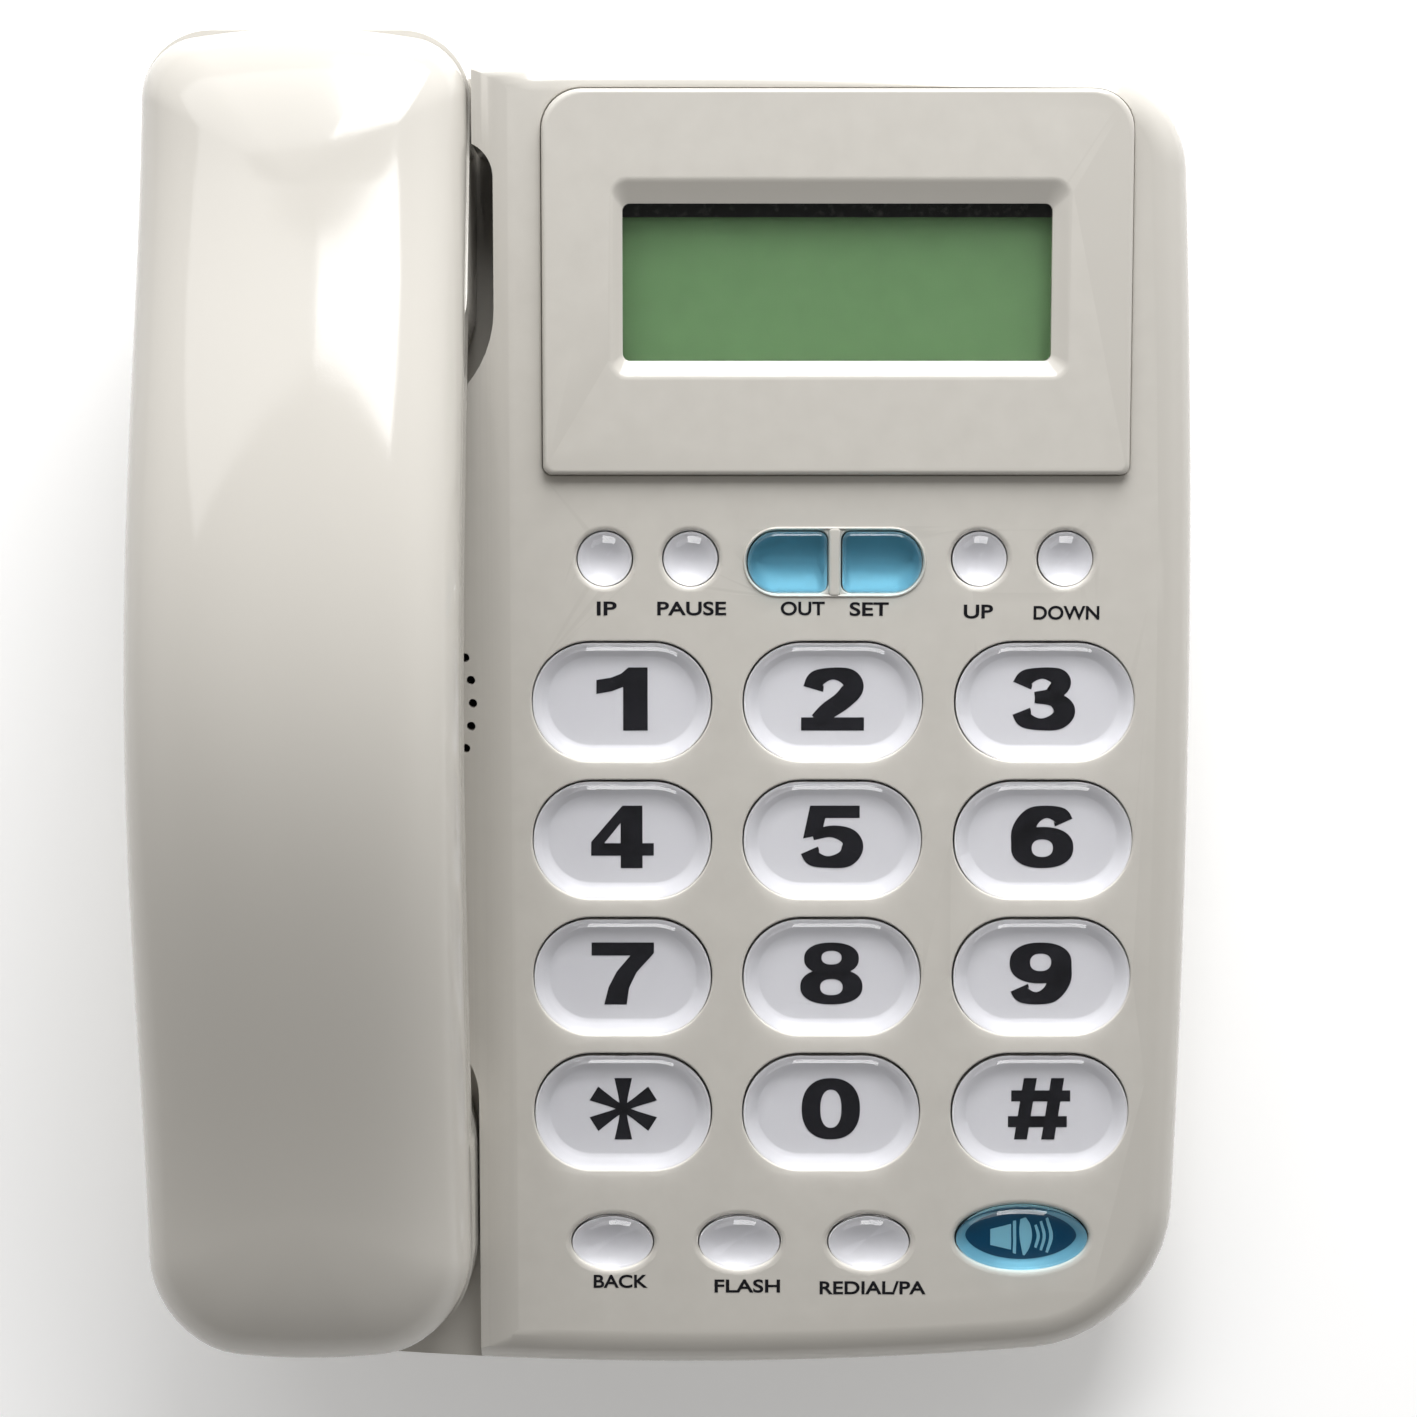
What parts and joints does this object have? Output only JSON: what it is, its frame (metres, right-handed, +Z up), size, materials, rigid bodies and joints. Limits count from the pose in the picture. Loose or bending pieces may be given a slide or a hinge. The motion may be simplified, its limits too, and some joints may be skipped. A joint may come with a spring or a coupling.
{
  "type": "corded landline phone",
  "caption": "Corded desk telephone with a sloping big-key console, a raised display panel and a handset lying in a side cradle.",
  "frame": {"origin": "centre of the footprint at the surface the feet stand on", "axes": "+X to the right of a person using the phone, +Y towards its back edge, +Z up"},
  "size_m": [0.169, 0.2175, 0.076],
  "materials": {
    "ivory": "glossy moulded",
    "clear_cap": "polished clear",
    "blue_cap": "polished translucent",
    "white_face": "satin",
    "black_print": "printed",
    "lcd": "satin",
    "pane": "polished clear",
    "rubber": "matte",
    "mat": "matte",
    "board": "satin",
    "black_part": "satin",
    "steel": "zinc plated",
    "cell": "printed wrap"
  },
  "bodies": {
    "base": {"upper_housing": "ivory", "lower_housing": "ivory", "display_panel": "ivory", "display_window": "pane", "lcd_module": "lcd", "foot_1": "rubber", "foot_2": "rubber", "foot_3": "rubber", "foot_4": "rubber", "key_mat": "mat", "key_board": "board", "main_board": "board", "loudspeaker": "black_part", "hook_switch": "black_part", "line_jack": "black_part", "cord_jack": "black_part", "ringer_switch": "black_part", "handsfree_microphone": "black_part", "ballast_plate": "steel", "housing_screw_1": "steel", "housing_screw_2": "steel", "housing_screw_3": "steel", "housing_screw_4": "steel", "battery_1": "cell", "battery_2": "cell", "battery_3": "cell"},
    "handset": {"handset_top_shell": "ivory", "handset_bottom_shell": "ivory", "earpiece": "black_part", "handset_microphone": "black_part", "handset_jack": "black_part", "handset_weight": "steel", "handset_screw_1": "steel", "handset_screw_2": "steel"},
    "hook": {"hook_plunger": "ivory"},
    "battery_cover": {"battery_door": "ivory"},
    "ringer": {"ringer_knob": "black_part"},
    "dial_key_1_body": {"dial_key_1": "clear_cap"},
    "dial_key_2_body": {"dial_key_2": "clear_cap"},
    "dial_key_3_body": {"dial_key_3": "clear_cap"},
    "dial_key_4_body": {"dial_key_4": "clear_cap"},
    "dial_key_5_body": {"dial_key_5": "clear_cap"},
    "dial_key_6_body": {"dial_key_6": "clear_cap"},
    "dial_key_7_body": {"dial_key_7": "clear_cap"},
    "dial_key_8_body": {"dial_key_8": "clear_cap"},
    "dial_key_9_body": {"dial_key_9": "clear_cap"},
    "dial_key_star_body": {"dial_key_star": "clear_cap"},
    "dial_key_0_body": {"dial_key_0": "clear_cap"},
    "dial_key_hash_body": {"dial_key_hash": "clear_cap"},
    "ip_key_body": {"ip_key": "clear_cap"},
    "pause_key_body": {"pause_key": "clear_cap"},
    "up_key_body": {"up_key": "clear_cap"},
    "down_key_body": {"down_key": "clear_cap"},
    "back_key_body": {"back_key": "clear_cap"},
    "flash_key_body": {"flash_key": "clear_cap"},
    "redial_key_body": {"redial_key": "clear_cap"},
    "out_key_body": {"out_key": "blue_cap"},
    "set_key_body": {"set_key": "blue_cap"},
    "speaker_key_body": {"speaker_key": "blue_cap"}
  },
  "joints": [
    {"name": "handset_lift", "type": "slide", "parent": "base", "child": "handset", "axis": [0, 0, 1], "range_m": [0, 0.12]},
    {"name": "hook_travel", "type": "slide", "parent": "base", "child": "hook", "axis": [0, 0, 1], "range_m": [0, 0.004]},
    {"name": "battery_cover_slide", "type": "slide", "parent": "base", "child": "battery_cover", "axis": [1, 0, 0], "range_m": [0, 0.006]},
    {"name": "ringer_slide", "type": "slide", "parent": "base", "child": "ringer", "axis": [1, 0, 0], "range_m": [0, 0.004]},
    {"name": "dial_1_press", "type": "slide", "parent": "base", "child": "dial_key_1_body", "axis": [0, 0.1219, -0.9925], "range_m": [0, 0.0016], "stiffness_N_per_m": 300, "springref_m": -0.0012},
    {"name": "dial_2_press", "type": "slide", "parent": "base", "child": "dial_key_2_body", "axis": [0, 0.1219, -0.9925], "range_m": [0, 0.0016], "stiffness_N_per_m": 300, "springref_m": -0.0012},
    {"name": "dial_3_press", "type": "slide", "parent": "base", "child": "dial_key_3_body", "axis": [0, 0.1219, -0.9925], "range_m": [0, 0.0016], "stiffness_N_per_m": 300, "springref_m": -0.0012},
    {"name": "dial_4_press", "type": "slide", "parent": "base", "child": "dial_key_4_body", "axis": [0, 0.1219, -0.9925], "range_m": [0, 0.0016], "stiffness_N_per_m": 300, "springref_m": -0.0012},
    {"name": "dial_5_press", "type": "slide", "parent": "base", "child": "dial_key_5_body", "axis": [0, 0.1219, -0.9925], "range_m": [0, 0.0016], "stiffness_N_per_m": 300, "springref_m": -0.0012},
    {"name": "dial_6_press", "type": "slide", "parent": "base", "child": "dial_key_6_body", "axis": [0, 0.1219, -0.9925], "range_m": [0, 0.0016], "stiffness_N_per_m": 300, "springref_m": -0.0012},
    {"name": "dial_7_press", "type": "slide", "parent": "base", "child": "dial_key_7_body", "axis": [0, 0.1219, -0.9925], "range_m": [0, 0.0016], "stiffness_N_per_m": 300, "springref_m": -0.0012},
    {"name": "dial_8_press", "type": "slide", "parent": "base", "child": "dial_key_8_body", "axis": [0, 0.1219, -0.9925], "range_m": [0, 0.0016], "stiffness_N_per_m": 300, "springref_m": -0.0012},
    {"name": "dial_9_press", "type": "slide", "parent": "base", "child": "dial_key_9_body", "axis": [0, 0.1219, -0.9925], "range_m": [0, 0.0016], "stiffness_N_per_m": 300, "springref_m": -0.0012},
    {"name": "dial_star_press", "type": "slide", "parent": "base", "child": "dial_key_star_body", "axis": [0, 0.1219, -0.9925], "range_m": [0, 0.0016], "stiffness_N_per_m": 300, "springref_m": -0.0012},
    {"name": "dial_0_press", "type": "slide", "parent": "base", "child": "dial_key_0_body", "axis": [0, 0.1219, -0.9925], "range_m": [0, 0.0016], "stiffness_N_per_m": 300, "springref_m": -0.0012},
    {"name": "dial_hash_press", "type": "slide", "parent": "base", "child": "dial_key_hash_body", "axis": [0, 0.1219, -0.9925], "range_m": [0, 0.0016], "stiffness_N_per_m": 300, "springref_m": -0.0012},
    {"name": "ip_press", "type": "slide", "parent": "base", "child": "ip_key_body", "axis": [0, 0.1219, -0.9925], "range_m": [0, 0.0016], "stiffness_N_per_m": 300, "springref_m": -0.0012},
    {"name": "pause_press", "type": "slide", "parent": "base", "child": "pause_key_body", "axis": [0, 0.1219, -0.9925], "range_m": [0, 0.0016], "stiffness_N_per_m": 300, "springref_m": -0.0012},
    {"name": "up_press", "type": "slide", "parent": "base", "child": "up_key_body", "axis": [0, 0.1219, -0.9925], "range_m": [0, 0.0016], "stiffness_N_per_m": 300, "springref_m": -0.0012},
    {"name": "down_press", "type": "slide", "parent": "base", "child": "down_key_body", "axis": [0, 0.1219, -0.9925], "range_m": [0, 0.0016], "stiffness_N_per_m": 300, "springref_m": -0.0012},
    {"name": "back_press", "type": "slide", "parent": "base", "child": "back_key_body", "axis": [0, 0.1219, -0.9925], "range_m": [0, 0.0016], "stiffness_N_per_m": 300, "springref_m": -0.0012},
    {"name": "flash_press", "type": "slide", "parent": "base", "child": "flash_key_body", "axis": [0, 0.1219, -0.9925], "range_m": [0, 0.0016], "stiffness_N_per_m": 300, "springref_m": -0.0012},
    {"name": "redial_press", "type": "slide", "parent": "base", "child": "redial_key_body", "axis": [0, 0.1219, -0.9925], "range_m": [0, 0.0016], "stiffness_N_per_m": 300, "springref_m": -0.0012},
    {"name": "out_press", "type": "slide", "parent": "base", "child": "out_key_body", "axis": [0, 0.1219, -0.9925], "range_m": [0, 0.0016], "stiffness_N_per_m": 300, "springref_m": -0.0012},
    {"name": "set_press", "type": "slide", "parent": "base", "child": "set_key_body", "axis": [0, 0.1219, -0.9925], "range_m": [0, 0.0016], "stiffness_N_per_m": 300, "springref_m": -0.0012},
    {"name": "speaker_press", "type": "slide", "parent": "base", "child": "speaker_key_body", "axis": [0, 0.1219, -0.9925], "range_m": [0, 0.0016], "stiffness_N_per_m": 300, "springref_m": -0.0012}
  ],
  "couplings": [
    {"joint": "hook_travel", "follows": "handset_lift", "ratio": 0.033333}
  ]
}
